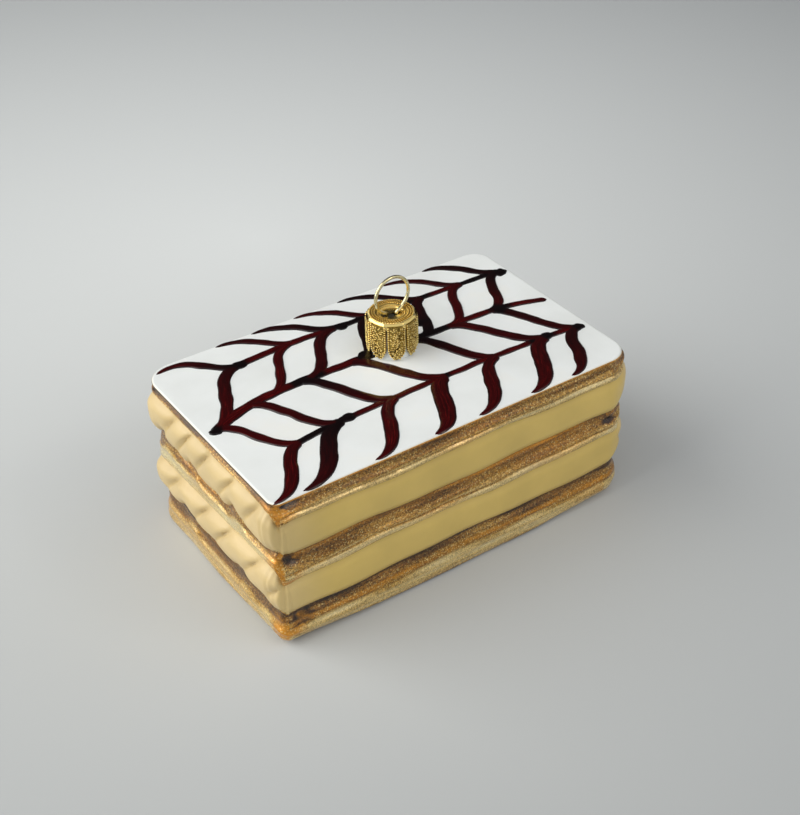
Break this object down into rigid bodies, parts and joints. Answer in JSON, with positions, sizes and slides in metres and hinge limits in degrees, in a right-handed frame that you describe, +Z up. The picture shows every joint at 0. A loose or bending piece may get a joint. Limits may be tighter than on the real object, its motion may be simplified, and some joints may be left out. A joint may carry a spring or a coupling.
{
  "type": "glass mille feuille slice ornament",
  "caption": "Blown glass hanging ornament shaped as an oblong slice of mille feuille with feathered icing, a gold crown cap and a wire ring.",
  "frame": {"origin": "middle of the flat underside, under the middle of the bounding box", "axes": "+X along the slice's length towards the right end, -Y towards the long front side, +Z up through the crown cap and its ring"},
  "size_m": [0.1032, 0.0624, 0.062],
  "materials": {
    "painted_glass": "satin",
    "gold_cap": "embossed",
    "gold_wire": "polished"
  },
  "bodies": {
    "root": {"glass_body": "painted_glass", "hanger_cap": "gold_cap", "hanger_wire": "gold_wire"}
  },
  "joints": []
}
